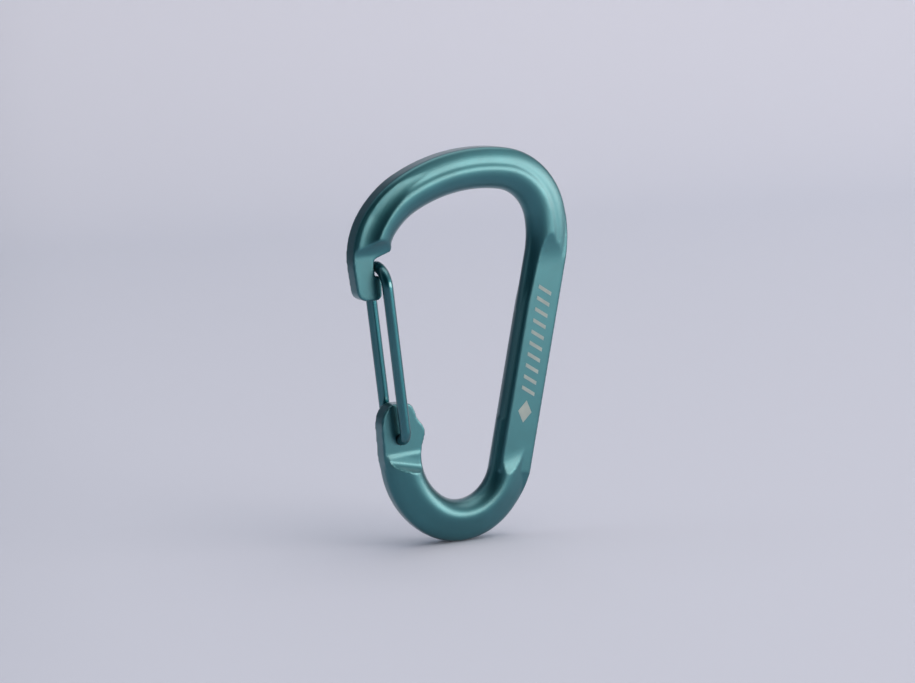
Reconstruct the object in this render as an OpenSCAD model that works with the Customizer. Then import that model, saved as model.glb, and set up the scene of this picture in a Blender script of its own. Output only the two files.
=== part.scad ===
// Keyring carabiner: a forged aluminium body and a sprung wire gate.
// +X points to the spine, +Z runs up the body, and -Y is the marked front face.
// The origin is on the ground, under the middle of the outline.

/* [Body outline] */
// Width of the bar, from its outer edge to its inner edge
bar_w = 8.4; // [8:0.1:8.8]
// Outer radius of the bottom bend
bottom_r = 15.8; // [15.4:0.1:16.2]
// Outer radius of the heel, between the bottom bend and the lug
heel_r = 20.2; // [19.8:0.1:20.6]
// Lean of the spine from the vertical, in degrees
spine_lean = 10.8; // [10.4:0.1:11.2]
// Length of the straight outer edge of the spine
spine_len = 44.2; // [43.8:0.1:44.6]
// Outer radius where the spine runs into the corner
upper_spine_r = 26; // [25:0.5:27]
// Outer radius of the top corner
corner_r = 16.4; // [16:0.1:16.8]
// Outer radius of the top
top_r = 39.4; // [39:0.1:39.8]
// Outer radius of the shoulder, above the nose
shoulder_r = 22.2; // [21.8:0.1:22.6]
// Outer radius of the nose side
nose_side_r = 15.7; // [15.3:0.1:16]

/* [Body thickness] */
// Thickness over the crests of the bow
crest_t = 6.2; // [6:0.1:6.5]
// Thickness of the bow's outer rim
rim_t = 3.8; // [3.6:0.1:4.2]
// Thickness of the flat spine
spine_t = 5; // [4.8:0.1:5.4]
// Thickness of the bottom bend
bottom_t = 6.2; // [6:0.1:6.6]
// Thickness of the nose and of the lug
plate_t = 3.2; // [3:0.1:3.4]

/* [Gate] */
// Diameter of the gate wire
wire_d = 2.2; // [2:0.1:2.2]
// Distance between the middles of the two wire legs
leg_gap = 7.6; // [7.2:0.1:7.8]
// Length of the gate, from its pivot to the middle of its top bend
gate_len = 34.9; // [34.5:0.1:35.2]
// Lean of the closed gate, away from the spine, in degrees
gate_lean = 7.5; // [7.3:0.1:7.6]
// Bend radius of each wire end, at the middle of the wire
end_bend_r = 2; // [1.9:0.05:2.2]
// Radial clearance of the wire in its hole
hole_gap = 0.1; // [0.05:0.01:0.1]

/* [Hidden] */
teal = [0.22, 0.45, 0.47];
wire_teal = [0.16, 0.38, 0.41];

// Directions, in degrees from +X towards +Z, where one arc of the outline runs into the next
heel_from = 237;
heel_to = 193;
corner_from = 11.4;
top_from = 82.5;
shoulder_from = 118.7;
nose_side_from = 145.1;
nose_side_to = 180;

// A vector of length r in direction a
function polar(r, a) = [r * cos(a), r * sin(a)];
// Points of an arc round c, from direction a0 to direction a1
function arc(c, r, a0, a1, n = 12) = [for (i = [0:n]) c + polar(r, a0 + (a1 - a0) * i / n)];

// Centres of the arcs, each tangent to the one before, with the bottom bend's centre over x = 0
bottom_c0 = [0, bottom_r];
spine_foot0 = bottom_c0 + polar(bottom_r, -spine_lean);
spine_head0 = spine_foot0 + polar(spine_len, 90 - spine_lean);
upper_spine_c0 = spine_head0 - polar(upper_spine_r, -spine_lean);
corner_c0 = upper_spine_c0 + polar(upper_spine_r - corner_r, corner_from);
top_c0 = corner_c0 - polar(top_r - corner_r, top_from);
shoulder_c0 = top_c0 + polar(top_r - shoulder_r, shoulder_from);
nose_side_c0 = shoulder_c0 + polar(shoulder_r - nose_side_r, nose_side_from);

// The outline is then moved along X so that its middle is at x = 0
x_right = upper_spine_c0[0] + upper_spine_r;
x_left = nose_side_c0[0] - nose_side_r;
shift = [-(x_right + x_left) / 2, 0];
bottom_c = bottom_c0 + shift;
heel_c = bottom_c - polar(heel_r - bottom_r, heel_from);
spine_foot = spine_foot0 + shift;
upper_spine_c = upper_spine_c0 + shift;
corner_c = corner_c0 + shift;
top_c = top_c0 + shift;
shoulder_c = shoulder_c0 + shift;
nose_side_c = nose_side_c0 + shift;

// Gate: its pivot, and the middle of its top bend when it is closed
pivot = [heel_c[0] - 16.65, 22.45];
tip = pivot + polar(gate_len, 90 + gate_lean);
wire_r = wire_d / 2;
leg_y = leg_gap / 2;
end_gap = 0.3;

// Nose: the catch edge that the wire rests on, the hook's end and its lowest level
catch_x = tip[0] - wire_r - 0.15;
hook_x = catch_x + 1.75;
nose_z = 50.5;
lip_z = tip[1] + wire_r + 0.8;
// Levels between which each section turns into the next
nose_ramp = [lip_z + 3.1, lip_z + 0.6];
high_ramp = [61.5, 55.2];
low_ramp = [18.8, 14.6];
lug_ramp = [16.4, 19.1];

// A half section lists points from the outer edge to the inner edge of the bar. Each point gives
// its share of the width and its height above the middle plane.
edge_v = 0.15;
plate_half = [
    [0, plate_t / 2 - 0.25], [0.03, plate_t / 2], [0.15, plate_t / 2], [0.3, plate_t / 2],
    [0.4, plate_t / 2], [0.5, plate_t / 2], [0.62, plate_t / 2], [0.75, plate_t / 2],
    [0.87, plate_t / 2], [0.97, plate_t / 2], [1, plate_t / 2 - 0.25]
];
// The bow has a thin rim, a shallow groove, a crest and a rounded inner side
bow_half = concat(
    [[0, rim_t / 2 - 0.4], [0.045, rim_t / 2], [0.18, rim_t / 2 + 0.1]],
    [[0.33, rim_t / 2 + 0.4], [0.4, crest_t / 2 - 0.3]],
    [for (a = [0, 20, 40, 60, 75, 90]) [0.47 + 0.53 * sin(a), max(edge_v, crest_t / 2 * cos(a))]]
);
// The spine has flat faces and a slightly domed inner side
spine_half = [
    [0, spine_t / 2 - 0.4], [0.05, spine_t / 2], [0.18, spine_t / 2], [0.33, spine_t / 2],
    [0.4, spine_t / 2], [0.47, spine_t / 2], [0.62, spine_t / 2], [0.77, spine_t / 2],
    [0.9, spine_t / 2], [0.97, spine_t / 2 - 0.6], [1, spine_t / 6]
];
// The bottom bend is a full oval
oval_half = [for (i = [0:10])
    [0.5 - 0.5 * cos(18 * i), max(edge_v, bottom_t / 2 * pow(sin(18 * i), 0.85))]
];

// A half section part of the way from p to q, where t is 0 at p and 1 at q
function mix(p, q, t) = [for (i = [0:len(p) - 1]) p[i] + (q[i] - p[i]) * min(1, max(0, t))];
// How far the level z has gone from the first to the second level of a ramp
function gone(z, ramp) = (z - ramp[0]) / (ramp[1] - ramp[0]);
// Stations round one arc of the bar: an outer point and an inner point at each direction
function stations(c, r, a0, a1, n) = [for (i = [1:n])
    let (a = a0 + (a1 - a0) * i / n) [c + polar(r, a), c + polar(r - bar_w, a)]
];

// The same, but growing wider on the inner side, up to the chin over the catch
chin = 0.9;
function widened(c, r, a0, a1, n) = [for (i = [1:n])
    let (a = a0 + (a1 - a0) * i / n) [c + polar(r, a), c + polar(r - bar_w - chin * pow(i / n, 2), a)]
];

// The lug's outline from the heel upwards, as pairs of points measured from the pivot: the outer
// side ends in a rounded shoulder, and the inner side bulges out as a stop beside the hole
lug_pairs = [
    [[-3.35, -5.45], [4.75, -4.55]], [[-3.65, -3.35], [4.65, -3.35]], [[-3.85, -1.65], [4.85, -1.75]],
    [[-3.97, -0.25], [5.25, -0.45]], [[-4.1, 1.05], [5.5, 0.55]], [[-4.18, 2.15], [5.4, 1.65]],
    [[-4.2, 3.25], [4.75, 2.7]], [[-4.05, 4.4], [3.65, 4]], [[-3.6, 5.6], [3.25, 5.3]],
    [[-2.8, 6.55], [2.75, 6.3]], [[-1.7, 7.15], [1.8, 7.1]]
];
// The nose from the bow downwards: its outer side follows the arc and ends in a rounded corner
nose_side_n = 6;
nose_in = nose_side_r - bar_w - chin;
corner_r2 = 2.2;
nose_corner = nose_side_c + [corner_r2 - 14.8, nose_z + corner_r2 - nose_side_c[1]];
nose_pairs = concat(
    [for (i = [1:nose_side_n]) let (p = polar(nose_side_r, 180 + 10 * i / nose_side_n))
        [nose_side_c + p, [nose_side_c[0] - nose_in, nose_side_c[1] + p[1]]]
    ],
    [for (i = [0:5]) let (p = nose_corner + polar(corner_r2, 190 + 80 * i / 5))
        [p, [nose_side_c[0] - nose_in, nose_z + (p[1] - nose_z) * 0.9]]
    ]
);

// All stations, from the lug's top, round the bottom and the top, to the nose's end.
// Each is an outer point, an inner point and a half section.
lug_list = [for (i = [len(lug_pairs) - 1:-1:0]) let (o = pivot + lug_pairs[i][0], n = pivot + lug_pairs[i][1])
    [o, n, mix(oval_half, plate_half, gone((o[1] + n[1]) / 2, lug_ramp))]
];
bottom_list = [
    for (s = concat(stations(heel_c, heel_r, heel_to, heel_from, 8),
                    stations(bottom_c, bottom_r, heel_from, 360 - spine_lean, 16)))
        [s[0], s[1], s[0][0] < bottom_c[0] ? oval_half
            : mix(oval_half, spine_half, gone((s[0][1] + s[1][1]) / 2, [low_ramp[1], low_ramp[0]]))]
];
spine_list = [
    for (i = [1:9]) let (o = spine_foot + polar(spine_len * i * i / 81, 90 - spine_lean),
                         n = o - polar(bar_w, -spine_lean), z = (o[1] + n[1]) / 2)
        [o, n, z < 30 ? mix(oval_half, spine_half, gone(z, [low_ramp[1], low_ramp[0]]))
            : mix(spine_half, bow_half, gone(z, [high_ramp[1], high_ramp[0]]))]
];
high_list = [
    for (s = concat(stations(upper_spine_c, upper_spine_r, -spine_lean, corner_from, 6),
                    stations(corner_c, corner_r, corner_from, top_from, 10)))
        [s[0], s[1], mix(spine_half, bow_half, gone((s[0][1] + s[1][1]) / 2, [high_ramp[1], high_ramp[0]]))]
];
bow_list = [
    for (s = concat(stations(top_c, top_r, top_from, shoulder_from, 7),
                    stations(shoulder_c, shoulder_r, shoulder_from, nose_side_from, 6),
                    widened(nose_side_c, nose_side_r, nose_side_from, nose_side_to, 12), nose_pairs))
        [s[0], s[1], mix(bow_half, plate_half, s[0][0] > 0 ? 0 : gone(min(s[0][1], s[1][1]), nose_ramp))]
];

// A closed bar through all the stations
module bar(list) {
    rings = [for (s = list) let (n = len(s[2])) [
        for (p = s[2]) let (q = s[0] + (s[1] - s[0]) * p[0]) [q[0], -p[1], q[1]],
        for (i = [n - 1:-1:0]) let (q = s[0] + (s[1] - s[0]) * s[2][i][0]) [q[0], s[2][i][1], q[1]]
    ]];
    n = len(rings[0]);
    last = len(rings) - 1;
    polyhedron(
        points = [for (r = rings) each r],
        faces = concat(
            [[for (i = [n - 1:-1:0]) i]],
            [for (k = [0:last - 1], i = [0:n - 1]) let (j = (i + 1) % n) each [
                [k * n + i, k * n + j, (k + 1) * n + i],
                [k * n + j, (k + 1) * n + j, (k + 1) * n + i]
            ]],
            [[for (i = [0:n - 1]) last * n + i]]
        )
    );
}

// What is taken out behind the nose: the catch notch that the wire closes into
module notch() {
    deep = crest_t + 2;
    rotate([90, 0, 0]) translate([0, 0, -deep / 2]) linear_extrude(deep) polygon(concat(
        [[hook_x - 1.2, nose_z - 1], [hook_x - 1.2, nose_z - 0.01]],
        arc([hook_x - 1.2, nose_z + 1.2], 1.2, 275, 360, 6),
        [[hook_x - 0.15, tip[1] - 1.85], [catch_x + 0.1, tip[1] - 1.6], [catch_x, tip[1] - 1.3]],
        arc([catch_x + 0.6, lip_z - 0.8], 0.6, 180, 105, 5),
        [[catch_x + 3.9, lip_z + 1.15], [catch_x + 4.7, lip_z + 1.9]],
        [[nose_side_c[0], lip_z + 1.9], [nose_side_c[0], nose_z - 1]]
    ));
}

// The hole for both wire ends, with a small countersink on each face
module wire_hole() translate([pivot[0], 0, pivot[1]]) rotate([90, 0, 0]) {
    hole_r = wire_r + hole_gap;
    sink = 0.25;
    cylinder(r = hole_r, h = plate_t + 2, center = true, $fn = 48);
    for (side = [0, 1]) mirror([0, 0, side]) translate([0, 0, plate_t / 2 - sink])
        cylinder(r1 = hole_r, r2 = hole_r + 2 * sink, h = 2 * sink, $fn = 48);
}

// The body is one forging: lug, heel, bottom bend, spine, bow and nose
module frame() color(teal) difference() {
    bar(concat(lug_list, bottom_list, spine_list, high_list, bow_list));
    notch();
    wire_hole();
}

// One leg of the gate and the bent end that turns into the hole
module leg() {
    top = gate_len - leg_y;
    translate([0, leg_y, end_bend_r]) cylinder(r = wire_r, h = top - end_bend_r, $fn = 32);
    translate([0, leg_y - end_bend_r, end_bend_r]) rotate([0, 90, 0]) rotate_extrude(angle = 90, $fn = 64)
        translate([end_bend_r, 0]) circle(r = wire_r, $fn = 32);
    translate([0, end_gap / 2, 0]) rotate([-90, 0, 0])
        cylinder(r = wire_r, h = leg_y - end_bend_r - end_gap / 2, $fn = 32);
}

// The gate is one bent wire: two legs, a round top bend, and two ends turned in towards each other
module wire_gate() color(wire_teal)
    translate([pivot[0], 0, pivot[1]]) rotate([0, -gate_lean, 0]) {
        leg();
        mirror([0, 1, 0]) leg();
        translate([0, 0, gate_len - leg_y]) rotate([90, 0, 90])
            rotate_extrude(angle = 180, $fn = 64) translate([leg_y, 0]) circle(r = wire_r, $fn = 32);
    }

frame();
wire_gate();
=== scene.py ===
# Keyring carabiner: a forged and anodised aluminium body, closed by a sprung wire gate.
import math

import bpy
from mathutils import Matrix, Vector


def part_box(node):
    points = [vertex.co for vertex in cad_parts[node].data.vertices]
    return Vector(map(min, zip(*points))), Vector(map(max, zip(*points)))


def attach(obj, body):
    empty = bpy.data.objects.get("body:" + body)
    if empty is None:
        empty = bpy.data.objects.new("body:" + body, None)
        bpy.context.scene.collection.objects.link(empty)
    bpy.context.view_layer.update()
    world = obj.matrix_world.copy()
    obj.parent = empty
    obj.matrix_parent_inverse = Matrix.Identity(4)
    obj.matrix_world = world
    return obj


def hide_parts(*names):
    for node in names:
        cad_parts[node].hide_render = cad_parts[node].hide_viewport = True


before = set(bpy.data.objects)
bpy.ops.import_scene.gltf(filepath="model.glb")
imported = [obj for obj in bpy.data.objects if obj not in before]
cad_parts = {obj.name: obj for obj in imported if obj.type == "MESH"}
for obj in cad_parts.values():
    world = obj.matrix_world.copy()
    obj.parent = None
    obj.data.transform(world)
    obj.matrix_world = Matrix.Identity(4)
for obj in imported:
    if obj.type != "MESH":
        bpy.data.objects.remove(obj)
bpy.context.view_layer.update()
bpy.ops.object.select_all(action="DESELECT")
mm = 0.001

# ---------------------------------------------------------------------------
# Body: one bar of aluminium, forged to shape, tumbled and anodised a satin teal. The bow has a
# sloping rim and a round ridge; the spine, the nose and the lug are pressed flat on both faces.
# Radii and directions of the outline's outer edge, in order from the bottom bend to the nose
bar_w = 8.4 * mm
bottom_r = 15.8 * mm
heel_r = 20.2 * mm
spine_len = 44.2 * mm
high_r = 26 * mm
corner_r = 16.4 * mm
top_r = 39.4 * mm
shoulder_r = 22.2 * mm
nose_r = 15.7 * mm
lean = 10.8
heel_from = 237
corner_from = 11.4
top_from = 82.5
shoulder_from = 118.7
nose_from = 145.1
# Half thicknesses of the crest, the cut rim, the spine, and the nose and lug plates
crest_v = 3.1 * mm
rim_v = 1.72 * mm
spine_v = 2.5 * mm
plate_v = 1.6 * mm
across = Vector((0, 1, 0))


def polar(r, angle):
    """A step of length r in the XZ plane, at an angle from +X towards +Z."""
    return Vector((r * math.cos(math.radians(angle)), 0, r * math.sin(math.radians(angle))))


# Centres of the outline's arcs, each tangent to the one before it
body_low, body_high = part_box("frame")
spine_top = Vector((0, 0, bottom_r)) + polar(bottom_r, -lean) + polar(spine_len, 90 - lean)
high_c = spine_top - polar(high_r, -lean)
bottom_c = Vector((body_high.x - high_r - high_c.x, 0, bottom_r))
high_c.x = body_high.x - high_r
spine_foot = bottom_c + polar(bottom_r, -lean)
heel_c = bottom_c - polar(heel_r - bottom_r, heel_from)
corner_c = high_c + polar(high_r - corner_r, corner_from)
top_c = corner_c - polar(top_r - corner_r, top_from)
shoulder_c = top_c + polar(top_r - shoulder_r, shoulder_from)
nose_c = shoulder_c + polar(shoulder_r - nose_r, nose_from)


def draw(name, points, closed=True):
    """Draws an outline, one vertex extruded from the next, and closes it with a face."""
    bpy.ops.object.select_all(action="DESELECT")
    bpy.ops.mesh.primitive_plane_add(size=mm, location=points[0])
    piece = bpy.context.object
    piece.name = name
    bpy.ops.object.transform_apply(location=True)
    bpy.ops.object.mode_set(mode="EDIT")
    bpy.ops.mesh.select_mode(type="VERT")
    bpy.ops.mesh.merge(type="CENTER")
    for here, there in zip(points, points[1:]):
        bpy.ops.mesh.extrude_vertices_move(TRANSFORM_OT_translate={"value": there - here})
    bpy.ops.mesh.select_all(action="SELECT")
    if closed:
        bpy.ops.mesh.edge_face_add()
    return piece


def section(half, start, inward):
    """Points of a whole section from half of it: each is (in from the outer edge, out from the middle)."""
    whole = half + [(u, -v) for u, v in reversed(half) if v > 0.001 * mm]
    return [start + inward * u + across * v for u, v in whole]


def open_tube():
    """Keeps only the edges of the drawn section, ready to be spun."""
    bpy.ops.mesh.delete(type="ONLY_FACE")
    bpy.ops.mesh.select_all(action="SELECT")


def bend(centre, angle, step=1.0):
    """Spins the open end of a bar round a centre, clockwise as seen from the front."""
    steps = max(1, round(abs(angle) / step))
    bpy.ops.mesh.spin(steps=steps, angle=-math.radians(angle), center=centre, axis=across)


def push(step, cuts=1):
    """Extrudes the open end of a bar straight on."""
    for _ in range(cuts):
        bpy.ops.mesh.extrude_edges_move(TRANSFORM_OT_translate={"value": step / cuts})


def close_tube():
    bpy.ops.mesh.select_all(action="SELECT")
    bpy.ops.mesh.fill_holes(sides=0)
    bpy.ops.mesh.select_all(action="SELECT")
    bpy.ops.mesh.normals_make_consistent(inside=False)
    bpy.ops.object.mode_set(mode="OBJECT")


# The bow, from the hook over the top and down to the spine: from its outer edge inwards it has a
# gently sloping rim, a faint crease, and a round ridge that falls away to the inner side
crest_u = 4.4 * mm
bow_half = [(0, 1.45), (0.1, 1.8), (0.3, 2.04), (0.6, 2.2), (1, 2.36), (1.5, 2.53), (2, 2.66), (2.5, 2.74)]
bow_half += [(2.85, 2.76), (3.05, 2.77), (3.3, 2.84), (3.6, 2.95), (3.9, 3.03), (4.15, 3.08)]
bow_half = [(u * mm, v * mm) for u, v in bow_half]
bow_half += [
    (crest_u + (bar_w - crest_u) * math.sin(math.radians(a)), crest_v * math.cos(math.radians(a)))
    for a in range(0, 91, 5)
]


def shrink(thick, wide, side=1):
    """Scales the open end of a bar about the middle of its outer edge, which is to the right or the left."""
    piece = bpy.context.object
    piece.update_from_editmode()
    outer = max((v.co for v in piece.data.vertices if v.select), key=lambda co: co.x * side)
    bpy.ops.transform.resize(value=(wide, thick, 1), center_override=(outer.x, 0, outer.z))


nose_wide = 1.11
wide_half = [(u * nose_wide, v) for u, v in bow_half]
bow = draw("bow", section(wide_half, nose_c + polar(nose_r, 190), -polar(1, 190)))
open_tube()
for _ in range(15):
    bend(nose_c, 2)
    shrink(1, nose_wide ** (-1 / 15), -1)
bend(nose_c, 160 - nose_from)
bend(shoulder_c, nose_from - shoulder_from)
bend(top_c, shoulder_from - top_from)
bend(corner_c, top_from - corner_from)
bend(high_c, corner_from + lean)
push(polar(12 * mm, 270 - lean), 12)
close_tube()

# The flat spine, drawn from its upper end: it grows out of the bow and fades into the bottom bend
spine_half = [(0, 1.9 * mm), (0.1 * mm, 2.25 * mm), (0.4 * mm, spine_v)]
spine_half += [(u * mm, spine_v) for u in (1.5, 3, 4.5, 6, 7.2)]
spine_half += [(7.55 * mm, 2.38 * mm), (7.8 * mm, 2.1 * mm), (8.02 * mm, 1.6 * mm), (8.25 * mm, 0.8 * mm)]
spine_half += [(bar_w, 0)]
start = 9
thin = 0.84
narrow = 0.62
small = [(u * narrow, v * thin) for u, v in spine_half]
spine = draw("spine", section(small, high_c + polar(high_r, start), -polar(1, start)))
open_tube()
for _ in range(20):
    bend(high_c, (start + lean) / 20)
    shrink(thin ** -0.05, narrow ** -0.042)
for _ in range(8):
    push(polar(1.2 * mm, 270 - lean))
    shrink(1, narrow ** -0.02)
push(polar(spine_len - 9.6 * mm, 270 - lean), 12)
for _ in range(22):
    bend(bottom_c, 2)
    shrink(0.955, 0.98)
close_tube()

# The bottom bend and the heel, an oval bar
low_crest_u = 5.2 * mm
low_w = 8.5 * mm
low_half = [(0, 0.7), (0.08, 1.15), (0.3, 1.52), (0.65, 1.8), (1.15, 2.05), (1.8, 2.29)]
low_half += [(2.6, 2.52), (3.4, 2.76), (4.2, 2.96), (4.8, 3.07)]
low_half = [(u * mm, v * mm) for u, v in low_half]
low_half += [
    (low_crest_u + (low_w - low_crest_u) * math.sin(math.radians(a)), crest_v * math.cos(math.radians(a)))
    for a in range(0, 91, 5)
]
low = draw("low", section(low_half, spine_foot + polar(10 * mm, 90 - lean), -polar(1, -lean)))
open_tube()
push(polar(10 * mm, 270 - lean), 10)
bend(bottom_c, 360 - lean - heel_from)
bend(heel_c, heel_from - 174)
close_tube()


def arc(centre, r, start, end, n=12):
    """Points of an arc in the XZ plane, from one direction to another."""
    return [centre + polar(r, start + (end - start) * i / n) for i in range(n + 1)]


def plate(name, points, depth):
    """A flat plate from its outline, as thick as depth on each side of the middle plane."""
    piece = draw(name, [p - across * depth for p in points])
    bpy.ops.mesh.extrude_region_move(TRANSFORM_OT_translate={"value": across * depth * 2})
    bpy.ops.mesh.select_all(action="SELECT")
    bpy.ops.mesh.normals_make_consistent(inside=False)
    bpy.ops.object.mode_set(mode="OBJECT")
    return piece


def cut(piece, tool, keep=False):
    """Cuts a closed tool out of a piece, then welds its points and closes any sliver left open."""
    bpy.ops.object.select_all(action="DESELECT")
    bpy.context.view_layer.objects.active = piece
    piece.select_set(True)
    boolean = piece.modifiers.new("cut", "BOOLEAN")
    boolean.operation = "DIFFERENCE"
    boolean.solver = "EXACT"
    boolean.object = tool
    bpy.ops.object.modifier_apply(modifier=boolean.name)
    bpy.ops.object.mode_set(mode="EDIT")
    bpy.ops.mesh.select_all(action="SELECT")
    bpy.ops.mesh.remove_doubles(threshold=0.0005 * mm)
    bpy.ops.mesh.select_all(action="SELECT")
    bpy.ops.mesh.fill_holes(sides=0)
    bpy.ops.object.mode_set(mode="OBJECT")
    if not keep:
        bpy.data.objects.remove(tool)


def press(piece, levels, left, right, slope=0):
    """Presses both faces of a piece down to a stepped level: each entry is (z, half thickness).
    The step runs from left to right along X, and rises by slope."""
    rise = (right - left) * slope
    for side in (-1, 1):
        points = [Vector((left, side * v, z - rise / 2)) for z, v in levels]
        ends = [Vector((left, side * 6 * mm, z - rise / 2)) for z, _ in (levels[-1], levels[0])]
        tool = draw("press", points + ends)
        bpy.ops.mesh.extrude_region_move(TRANSFORM_OT_translate={"value": Vector((right - left, 0, rise))})
        bpy.ops.mesh.select_all(action="SELECT")
        bpy.ops.mesh.normals_make_consistent(inside=False)
        bpy.ops.object.mode_set(mode="OBJECT")
        cut(piece, tool)


def scoop(z, v, length, height, n=10):
    """Levels of a concave ramp that leaves the flat at (z, v) and rises by height over its length."""
    r = (length ** 2 + height ** 2) / (2 * height)
    return [(z + length * i / n, v + r - math.sqrt(r ** 2 - (length * i / n) ** 2)) for i in range(n + 1)]


# The gate's places, which the lug and the nose are shaped around
pivot = Vector((heel_c.x - 16.65 * mm, 0, 22.45 * mm))
gate_lean = 7.5
gate_len = 34.9 * mm
wire_r = 1.1 * mm
tip = pivot + polar(gate_len, 90 + gate_lean)
catch_x = tip.x - wire_r - 0.15 * mm
hook_x = catch_x + 1.75 * mm
lip_z = tip.z + wire_r + 0.8 * mm
nose_z = 50.5 * mm

# The nose is a flat plate under the bow, ending in a hook with rounded corners
nose_points = arc(nose_c, nose_r, 165, 190)
nose_points += arc(Vector((nose_c.x - 12.6 * mm, 0, nose_z + 2.2 * mm)), 2.2 * mm, 190, 270, 8)
nose_points += arc(Vector((hook_x - 1.2 * mm, 0, nose_z + 1.2 * mm)), 1.2 * mm, 275, 360, 6)
nose_points += [Vector((hook_x, 0, lip_z + 2 * mm)), nose_c + polar(nose_r - bar_w, 165)]
nose = plate("nose", nose_points, plate_v)

# Beside the nose the rim steps down and a trough lies between it and the ridge. Both run out
# towards the top of the bow, as their tools drift out of the metal.
def groove(profile, side, sideways, outwards, last):
    """Cuts a groove along the bow from the nose to a last direction, drifting a little at each step."""
    first = 200
    count = 30
    tool = draw("groove", [nose_c + polar(nose_r - u, first) + across * v * side for u, v in profile])
    open_tube()
    bend(nose_c, first - nose_from)
    arcs = ((shoulder_c, nose_from, shoulder_from), (top_c, shoulder_from, last))
    for centre, angle_from, angle_to in arcs:
        for k in range(count):
            angle = angle_from + (angle_to - angle_from) * (k + 1) / count
            bend(centre, (angle_from - angle_to) / count)
            bpy.ops.transform.translate(value=polar(sideways, angle) + across * outwards * side)
    close_tube()
    cut(bow, tool)


rim_w = 0.75 * mm
clear_v = 6 * mm
rim_step = [(rim_w, rim_v), (rim_w - 0.1 * mm, clear_v), (-3 * mm, clear_v), (-3 * mm, rim_v)]
trough = [(0.6, 1.98), (1.4, 2), (2, 2.08), (2.6, 2.22), (3.2, 2.42), (3.7, 2.65), (4.1, 2.88), (4.5, 3.15)]
trough = [(u * mm, v * mm) for u, v in trough] + [(4.5 * mm, clear_v), (0.6 * mm, clear_v)]
for side in (-1, 1):
    groove(trough, side, 0, 0.014 * mm, 96)
    groove(rim_step, side, 0.014 * mm, 0.008 * mm, 92)

# The bow comes down to the nose plate in a ramp, a hair off level
left_x = body_low.x - mm
ramp = [(lip_z - 12 * mm, plate_v)] + scoop(lip_z + 0.4 * mm, plate_v, 3.3 * mm, 1.7 * mm)
press(bow, ramp, left_x, -8 * mm, 0.05)

# The catch notch that the wire closes into
notch_points = [Vector((hook_x, 0, nose_z)), Vector((hook_x, 0, nose_z + 1.2 * mm))]
notch_points += [Vector((hook_x - 0.15 * mm, 0, tip.z - 1.85 * mm))]
notch_points += [Vector((catch_x + 0.1 * mm, 0, tip.z - 1.6 * mm))]
notch_points += arc(Vector((catch_x + 0.6 * mm, 0, lip_z - 0.8 * mm)), 0.6 * mm, 180, 105, 5)
notch_top = lip_z + 1.9 * mm
notch_points += [Vector((catch_x + 3.9 * mm, 0, lip_z + 1.15 * mm))]
notch_points += [Vector((catch_x + 4.7 * mm, 0, notch_top))]
notch_points += [Vector((nose_c.x, 0, notch_top)), Vector((nose_c.x, 0, nose_z))]
notch = plate("notch", notch_points, 5 * mm)
cut(bow, notch, keep=True)
cut(nose, notch)

# The crest runs out over the spine's flat face, in a shallow scoop above it and another below it
spine_x = 8 * mm
spine_out = 26 * mm
high_ramp = [(40 * mm, spine_v), (54 * mm, spine_v)] + scoop(55.2 * mm, spine_v, 6.6 * mm, 0.62 * mm)
press(bow, high_ramp, spine_x, spine_out)
foot = [(-z, v) for z, v in scoop(-18.8 * mm, spine_v, 4.8 * mm, 0.75 * mm)]
press(low, [(34 * mm, spine_v)] + foot, spine_x - 4 * mm, spine_out, 0.3)

# The lug is a flat plate round the wire's hole, its outline given from the hole in millimetres. A
# small riser and a sloping facet lead down from it to the heel.
lug_outer = [(-3.25, -5.85), (-3.55, -4.45), (-3.75, -3.25), (-3.85, -1.65), (-3.97, -0.25), (-4.1, 1.05)]
lug_outer += [(-4.18, 2.15), (-4.2, 3.25), (-4.05, 4.4), (-3.6, 5.6), (-2.8, 6.55), (-1.7, 7.15)]
lug_inner = [(1.8, 7.1), (2.75, 6.3), (3.25, 5.3), (3.65, 4), (4.85, 2.6), (5.4, 1.65), (5.5, 0.55)]
lug_inner += [(5.25, -0.45), (4.85, -1.75), (4.65, -3.35), (4.7, -4.55)]
lug = plate("lug", [pivot + Vector((x * mm, 0, z * mm)) for x, z in lug_outer + lug_inner], plate_v)
step_v = plate_v + 0.15 * mm
riser = [(30 * mm, plate_v), (19.3 * mm, plate_v), (19.15 * mm, step_v), (18.9 * mm, step_v)]
riser += [(18.8 * mm, 4 * mm)]
press(low, riser, left_x, -6 * mm, 0.05)
facet = [(31 * mm, step_v), (19 * mm, step_v)]
facet += [(-z, v) for z, v in scoop(-18 * mm, step_v + 0.05 * mm, 1.8 * mm, 1.35 * mm)]
press(low, facet, -21.5 * mm, -6.5 * mm, -0.2)

# Everything is joined into one skin, then tumbled: its edges go soft
for piece in (spine, low, nose, lug):
    piece.select_set(True)
bpy.context.view_layer.objects.active = bow
bow.select_set(True)
bpy.ops.object.join()
body = bow
body.name = "body_forging"
remesh = body.modifiers.new("skin", "REMESH")
remesh.mode = "VOXEL"
skin_step = 0.228 * mm
remesh.voxel_size = skin_step
bpy.ops.object.modifier_apply(modifier=remesh.name)
smooth = body.modifiers.new("tumbled", "SMOOTH")
smooth.factor = 0.5
smooth.iterations = 8
bpy.ops.object.modifier_apply(modifier=smooth.name)
# The wire's hole is drilled last, so that its edges stay crisp
hole_r = 1.22 * mm
bpy.ops.object.select_all(action="DESELECT")
bpy.ops.mesh.primitive_cylinder_add(
    vertices=48, radius=hole_r, depth=8 * mm, location=pivot, rotation=(math.radians(90), 0, 0)
)
drill = bpy.context.object
bpy.ops.object.transform_apply()
cut(body, drill)
bpy.ops.object.select_all(action="DESELECT")
body.select_set(True)
bpy.context.view_layer.objects.active = body
bpy.ops.object.shade_smooth_by_angle(angle=math.radians(50))


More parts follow.
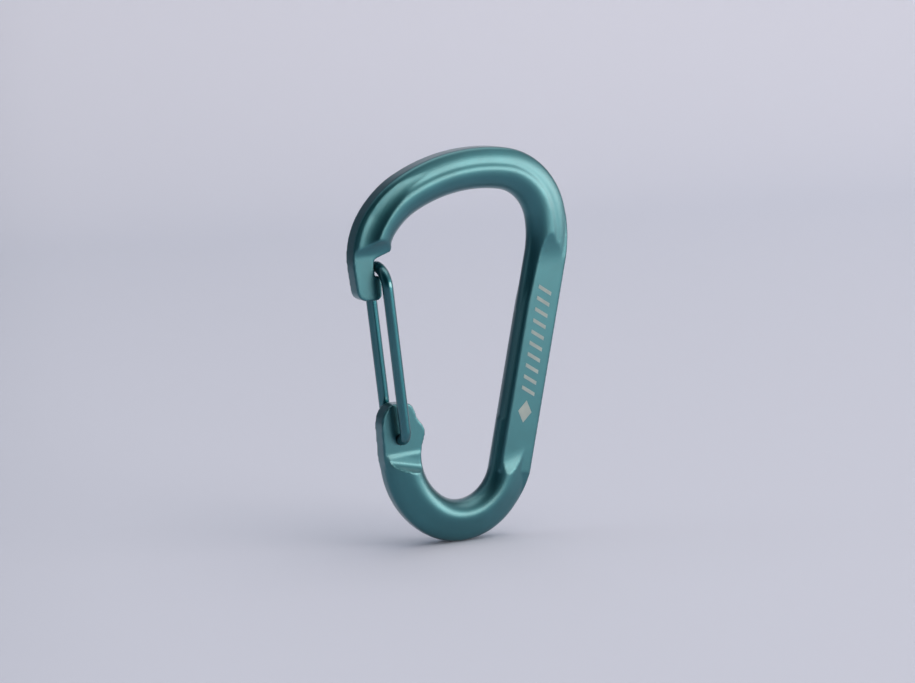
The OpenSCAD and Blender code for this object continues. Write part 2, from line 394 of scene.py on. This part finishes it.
def grain_group():
    """Fine matt grain on object coordinates: a height, and a slow cloud."""
    group = bpy.data.node_groups.new("fine_grain", "ShaderNodeTree")
    sockets = group.interface
    sockets.new_socket("Fine scale", in_out="INPUT", socket_type="NodeSocketFloat")
    sockets.new_socket("Cloud scale", in_out="INPUT", socket_type="NodeSocketFloat")
    sockets.new_socket("Height", in_out="OUTPUT", socket_type="NodeSocketFloat")
    sockets.new_socket("Cloud", in_out="OUTPUT", socket_type="NodeSocketFloat")
    nodes = group.nodes
    links = group.links
    given = nodes.new("NodeGroupInput")
    out = nodes.new("NodeGroupOutput")
    place = nodes.new("ShaderNodeTexCoord")
    fine = nodes.new("ShaderNodeTexNoise")
    fine.inputs["Detail"].default_value = 3
    cloud = nodes.new("ShaderNodeTexNoise")
    cloud.inputs["Detail"].default_value = 2
    for texture, size in ((fine, "Fine scale"), (cloud, "Cloud scale")):
        links.new(place.outputs["Object"], texture.inputs["Vector"])
        links.new(given.outputs[size], texture.inputs["Scale"])
    links.new(fine.outputs["Fac"], out.inputs["Height"])
    links.new(cloud.outputs["Fac"], out.inputs["Cloud"])
    return group


grain = grain_group()


def spread(nodes, links, source, low, high):
    """A value that runs from low to high as the source goes over the middle of its range."""
    node = nodes.new("ShaderNodeMapRange")
    node.inputs["From Min"].default_value = 0.3
    node.inputs["From Max"].default_value = 0.7
    node.inputs["To Min"].default_value = low
    node.inputs["To Max"].default_value = high
    links.new(source, node.inputs["Value"])
    return node.outputs["Result"]


def anodised(name, dark, light, rough, fine_scale, bump):
    """Dyed anodised metal: a colour between dark and light, uneven roughness and a fine matt grain."""
    material = bpy.data.materials.new(name)
    material.use_nodes = True
    nodes = material.node_tree.nodes
    links = material.node_tree.links
    shader = nodes["Principled BSDF"]
    shader.inputs["Metallic"].default_value = 1
    texture = nodes.new("ShaderNodeGroup")
    texture.node_tree = grain
    texture.inputs["Fine scale"].default_value = fine_scale
    texture.inputs["Cloud scale"].default_value = 160
    colour = nodes.new("ShaderNodeMix")
    colour.data_type = "RGBA"
    colour.inputs["A"].default_value = (*dark, 1)
    colour.inputs["B"].default_value = (*light, 1)
    links.new(spread(nodes, links, texture.outputs["Cloud"], 0, 1), colour.inputs["Factor"])
    links.new(colour.outputs["Result"], shader.inputs["Base Color"])
    links.new(spread(nodes, links, texture.outputs["Height"], *rough), shader.inputs["Roughness"])
    relief = nodes.new("ShaderNodeBump")
    relief.inputs["Strength"].default_value = bump
    relief.inputs["Distance"].default_value = 0.02 * mm
    links.new(texture.outputs["Height"], relief.inputs["Height"])
    links.new(relief.outputs["Normal"], shader.inputs["Normal"])
    return material, shader


deep_teal = (0.011, 0.125, 0.148)
pale_teal = (0.015, 0.147, 0.172)
satin, shader = anodised("satin_anodised", deep_teal, pale_teal, (0.32, 0.44), 9000, 0.5)
shader.inputs["Coat Weight"].default_value = 1
shader.inputs["Coat IOR"].default_value = 1.55
shader.inputs["Coat Roughness"].default_value = 0.32
body.data.materials.clear()
body.data.materials.append(satin)
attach(body, "body")
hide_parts("frame")

# ---------------------------------------------------------------------------
# Spine mark: a plain decorative pattern on the spine's front face, a lozenge and a row of slanted
# bars. It is etched by laser, which bleaches the dye and leaves the oxide pale and matt.
mark_w = 3.2 * mm
mark_thick = 0.02 * mm
spine_up = polar(1, 90 - lean)
spine_in = -polar(1, -lean)
mark_low = spine_foot + spine_up * 9.9 * mm + spine_in * 4 * mm - across * spine_v


def mark_shape(corners):
    """A thin shape on the spine's face: each corner is (along the spine, across it)."""
    shape = draw("mark", [mark_low + spine_up * a + spine_in * b for a, b in corners])
    bpy.ops.mesh.extrude_region_move(TRANSFORM_OT_translate={"value": -across * mark_thick})
    bpy.ops.mesh.select_all(action="SELECT")
    bpy.ops.mesh.normals_make_consistent(inside=False)
    bpy.ops.object.mode_set(mode="OBJECT")
    return shape


lozenge = 2.3 * mm
shapes = [mark_shape([(0, 0), (lozenge, -mark_w / 2), (2 * lozenge, 0), (lozenge, mark_w / 2)])]
bar_step = 2.3 * mm
bar_thick = 0.75 * mm
bar_slant = 1.2 * mm
for k in range(10):
    low_end = 5.6 * mm + k * bar_step
    high_end = low_end + bar_slant
    shapes.append(mark_shape([
        (low_end, -mark_w / 2), (low_end + bar_thick, -mark_w / 2),
        (high_end + bar_thick, mark_w / 2), (high_end, mark_w / 2),
    ]))
bpy.ops.object.select_all(action="DESELECT")
for shape in shapes:
    shape.select_set(True)
mark = shapes[0]
bpy.context.view_layer.objects.active = mark
bpy.ops.object.join()
mark.name = "spine_mark"


def etched():
    """Bleached oxide: pale, matt and a little uneven, so that some of the dye shows through."""
    material = bpy.data.materials.new("laser_etch")
    material.use_nodes = True
    nodes = material.node_tree.nodes
    links = material.node_tree.links
    shader = nodes["Principled BSDF"]
    texture = nodes.new("ShaderNodeGroup")
    texture.node_tree = grain
    texture.inputs["Fine scale"].default_value = 5000
    texture.inputs["Cloud scale"].default_value = 500
    colour = nodes.new("ShaderNodeMix")
    colour.data_type = "RGBA"
    colour.inputs["A"].default_value = (0.28, 0.38, 0.37, 1)
    colour.inputs["B"].default_value = (0.35, 0.45, 0.42, 1)
    links.new(spread(nodes, links, texture.outputs["Cloud"], 0, 1), colour.inputs["Factor"])
    links.new(colour.outputs["Result"], shader.inputs["Base Color"])
    links.new(spread(nodes, links, texture.outputs["Height"], 0.55, 0.75), shader.inputs["Roughness"])
    relief = nodes.new("ShaderNodeBump")
    relief.inputs["Strength"].default_value = 0.4
    relief.inputs["Distance"].default_value = 0.01 * mm
    links.new(texture.outputs["Height"], relief.inputs["Height"])
    links.new(relief.outputs["Normal"], shader.inputs["Normal"])
    return material


mark.data.materials.append(etched())
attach(mark, "body")

# ---------------------------------------------------------------------------
# Gate: one length of spring wire, bent to a narrow loop and coated teal. Its ends turn in towards
# each other in the lug's hole, and its round top closes into the catch behind the nose.
leg_y = 3.8 * mm
end_bend = 2 * mm
end_gap = 0.3 * mm
gate_up = polar(1, 90 + gate_lean)
gate_side = polar(1, gate_lean)


def curl(centre, angle, steps):
    """Spins the open end of the wire in the gate's own plane."""
    bpy.ops.mesh.spin(steps=steps, angle=-math.radians(angle), center=centre, axis=gate_side)


bpy.ops.object.select_all(action="DESELECT")
bpy.ops.mesh.primitive_circle_add(
    vertices=32, radius=wire_r, location=pivot + across * end_gap / 2, rotation=(math.radians(90), 0, 0)
)
wire = bpy.context.object
wire.name = "gate_wire"
bpy.ops.object.transform_apply()
bpy.ops.object.mode_set(mode="EDIT")
bpy.ops.mesh.select_all(action="SELECT")
push(across * (leg_y - end_bend - end_gap / 2), 2)
curl(pivot + across * (leg_y - end_bend) + gate_up * end_bend, 90, 16)
push(gate_up * (gate_len - leg_y - end_bend), 20)
curl(pivot + gate_up * (gate_len - leg_y), 180, 32)
push(-gate_up * (gate_len - leg_y - end_bend), 20)
curl(pivot - across * (leg_y - end_bend) + gate_up * end_bend, 90, 16)
push(across * (leg_y - end_bend - end_gap / 2), 2)
close_tube()
bpy.ops.object.shade_smooth_by_angle(angle=math.radians(50))
wire_dark = (0.010, 0.125, 0.150)
wire_light = (0.014, 0.145, 0.172)
coated, shader = anodised("coated_wire_teal", wire_dark, wire_light, (0.27, 0.35), 5000, 0.06)
shader.inputs["Coat Weight"].default_value = 1
shader.inputs["Coat IOR"].default_value = 1.55
shader.inputs["Coat Roughness"].default_value = 0.12
wire.data.materials.append(coated)
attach(wire, "gate")
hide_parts("wire_gate")

# ---------------------------------------------------------------------------
# Floor and backdrop: one sweep of pale matt paper, with a wide curve between the floor and the
# wall. Shade is painted on it towards the left and the front left, and the metal's left sides reflect that
# painted shade.
floor_half = 1.6
floor_front = -1.2
wall_y = 1.0
wall_top = 1.6
sweep_r = 0.5
sweep_steps = 24
sweep_side = [Vector((-floor_half, floor_front, 0))]
for k in range(sweep_steps + 1):
    a = math.radians(90 * k / sweep_steps)
    back_y = wall_y - sweep_r + sweep_r * math.sin(a)
    sweep_side.append(Vector((-floor_half, back_y, sweep_r - sweep_r * math.cos(a))))
sweep_side.append(Vector((-floor_half, wall_y, wall_top)))
paper = draw("paper_sweep", sweep_side, closed=False)
bpy.ops.mesh.extrude_edges_move(TRANSFORM_OT_translate={"value": Vector((2 * floor_half, 0, 0))})
bpy.ops.mesh.select_all(action="SELECT")
bpy.ops.mesh.normals_make_consistent(inside=False)
bpy.ops.object.mode_set(mode="OBJECT")
bpy.ops.object.shade_smooth()
sheet = bpy.data.materials.new("pale_paper")
sheet.use_nodes = True
nodes = sheet.node_tree.nodes
links = sheet.node_tree.links
shader = nodes["Principled BSDF"]
place = nodes.new("ShaderNodeTexCoord")
both = nodes.new("ShaderNodeMath")
both.operation = "MULTIPLY"
# Each painted shade fade is a level direction, and where along it the painted shade is full and where it
# ends
painted_shade_fades = (((0.956, -0.344, 0), -0.28, -0.06), ((0.8, 0.6, 0), -0.36, -0.13))
for k, (direction, dark_end, light_end) in enumerate(painted_shade_fades):
    along = nodes.new("ShaderNodeVectorMath")
    along.operation = "DOT_PRODUCT"
    along.inputs[1].default_value = direction
    links.new(place.outputs["Object"], along.inputs[0])
    fade = nodes.new("ShaderNodeMapRange")
    fade.interpolation_type = "SMOOTHSTEP"
    fade.inputs["From Min"].default_value = dark_end
    fade.inputs["From Max"].default_value = light_end
    links.new(along.outputs["Value"], fade.inputs["Value"])
    links.new(fade.outputs["Result"], both.inputs[k])
# Painted shade: the paper's pale colour is mixed towards a dark blue-grey where the fades fall
paper_and_painted_shade = nodes.new("ShaderNodeMix")
paper_and_painted_shade.data_type = "RGBA"
paper_and_painted_shade.inputs["A"].default_value = (0.20, 0.26, 0.32, 1)
paper_and_painted_shade.inputs["B"].default_value = (0.67, 0.76, 0.87, 1)
links.new(both.outputs["Value"], paper_and_painted_shade.inputs["Factor"])
links.new(paper_and_painted_shade.outputs["Result"], shader.inputs["Base Color"])
shader.inputs["Roughness"].default_value = 0.9
shader.inputs["Specular IOR Level"].default_value = 0.1
paper.data.materials.append(sheet)

# ---------------------------------------------------------------------------
# Light: a big soft box overhead, a long low one to the right of the camera, and a room that is dark
# towards the front left and pale elsewhere, which gives the metal its long soft reflections.
middle = Vector((0, 0, 40 * mm))


def soft_box(name, place, wide, high, power, colour):
    """A rectangular lamp that faces the middle of the body."""
    bpy.ops.object.light_add(type="AREA", location=place)
    lamp = bpy.context.object
    lamp.name = name
    lamp.data.shape = "RECTANGLE"
    lamp.data.size = wide
    lamp.data.size_y = high
    lamp.data.energy = power
    lamp.data.color = colour
    lamp.rotation_euler = (middle - Vector(place)).to_track_quat("-Z", "Y").to_euler()


warm = (1.3, 1, 0.9)
soft_box("top_box", (0.6, -0.25, 2.1), 2, 2, 14, warm)
soft_box("right_box", (1.25, -1.5, 0.3), 2, 0.6, 20, warm)

world = bpy.data.worlds.new("room")
bpy.context.scene.world = world
world.use_nodes = True
nodes = world.node_tree.nodes
links = world.node_tree.links
place = nodes.new("ShaderNodeTexCoord")
side = nodes.new("ShaderNodeVectorMath")
side.operation = "DOT_PRODUCT"
side.inputs[1].default_value = (-0.68, -0.73, 0)
shade = nodes.new("ShaderNodeMapRange")
shade.interpolation_type = "SMOOTHSTEP"
shade.inputs["From Min"].default_value = 0.1
shade.inputs["From Max"].default_value = 0.8
tone = nodes.new("ShaderNodeMix")
tone.data_type = "RGBA"
tone.inputs["A"].default_value = (0.92, 0.9, 0.95, 1)
tone.inputs["B"].default_value = (0.02, 0.065, 0.085, 1)
links.new(place.outputs["Generated"], side.inputs[0])
links.new(side.outputs["Value"], shade.inputs["Value"])
links.new(shade.outputs["Result"], tone.inputs["Factor"])
links.new(tone.outputs["Result"], nodes["Background"].inputs["Color"])
nodes["Background"].inputs["Strength"].default_value = 0.75

# ---------------------------------------------------------------------------
# Camera: a long lens at the left of the front, a little above the middle of the body.
camera_turn = -30
camera_rise = 9
camera_far = 508.4 * mm
aim = Vector((-0.27 * mm, 0, 40.74 * mm))
level = math.cos(math.radians(camera_rise))
back = Vector((
    math.sin(math.radians(camera_turn)) * level,
    -math.cos(math.radians(camera_turn)) * level,
    math.sin(math.radians(camera_rise)),
))
bpy.ops.object.camera_add(location=aim + back * camera_far)
camera = bpy.context.object
camera.data.lens = 100
camera.data.sensor_width = 36
camera.rotation_euler = (-back).to_track_quat("-Z", "Y").to_euler()
bpy.context.scene.camera = camera
bpy.context.scene.view_settings.view_transform = "Standard"
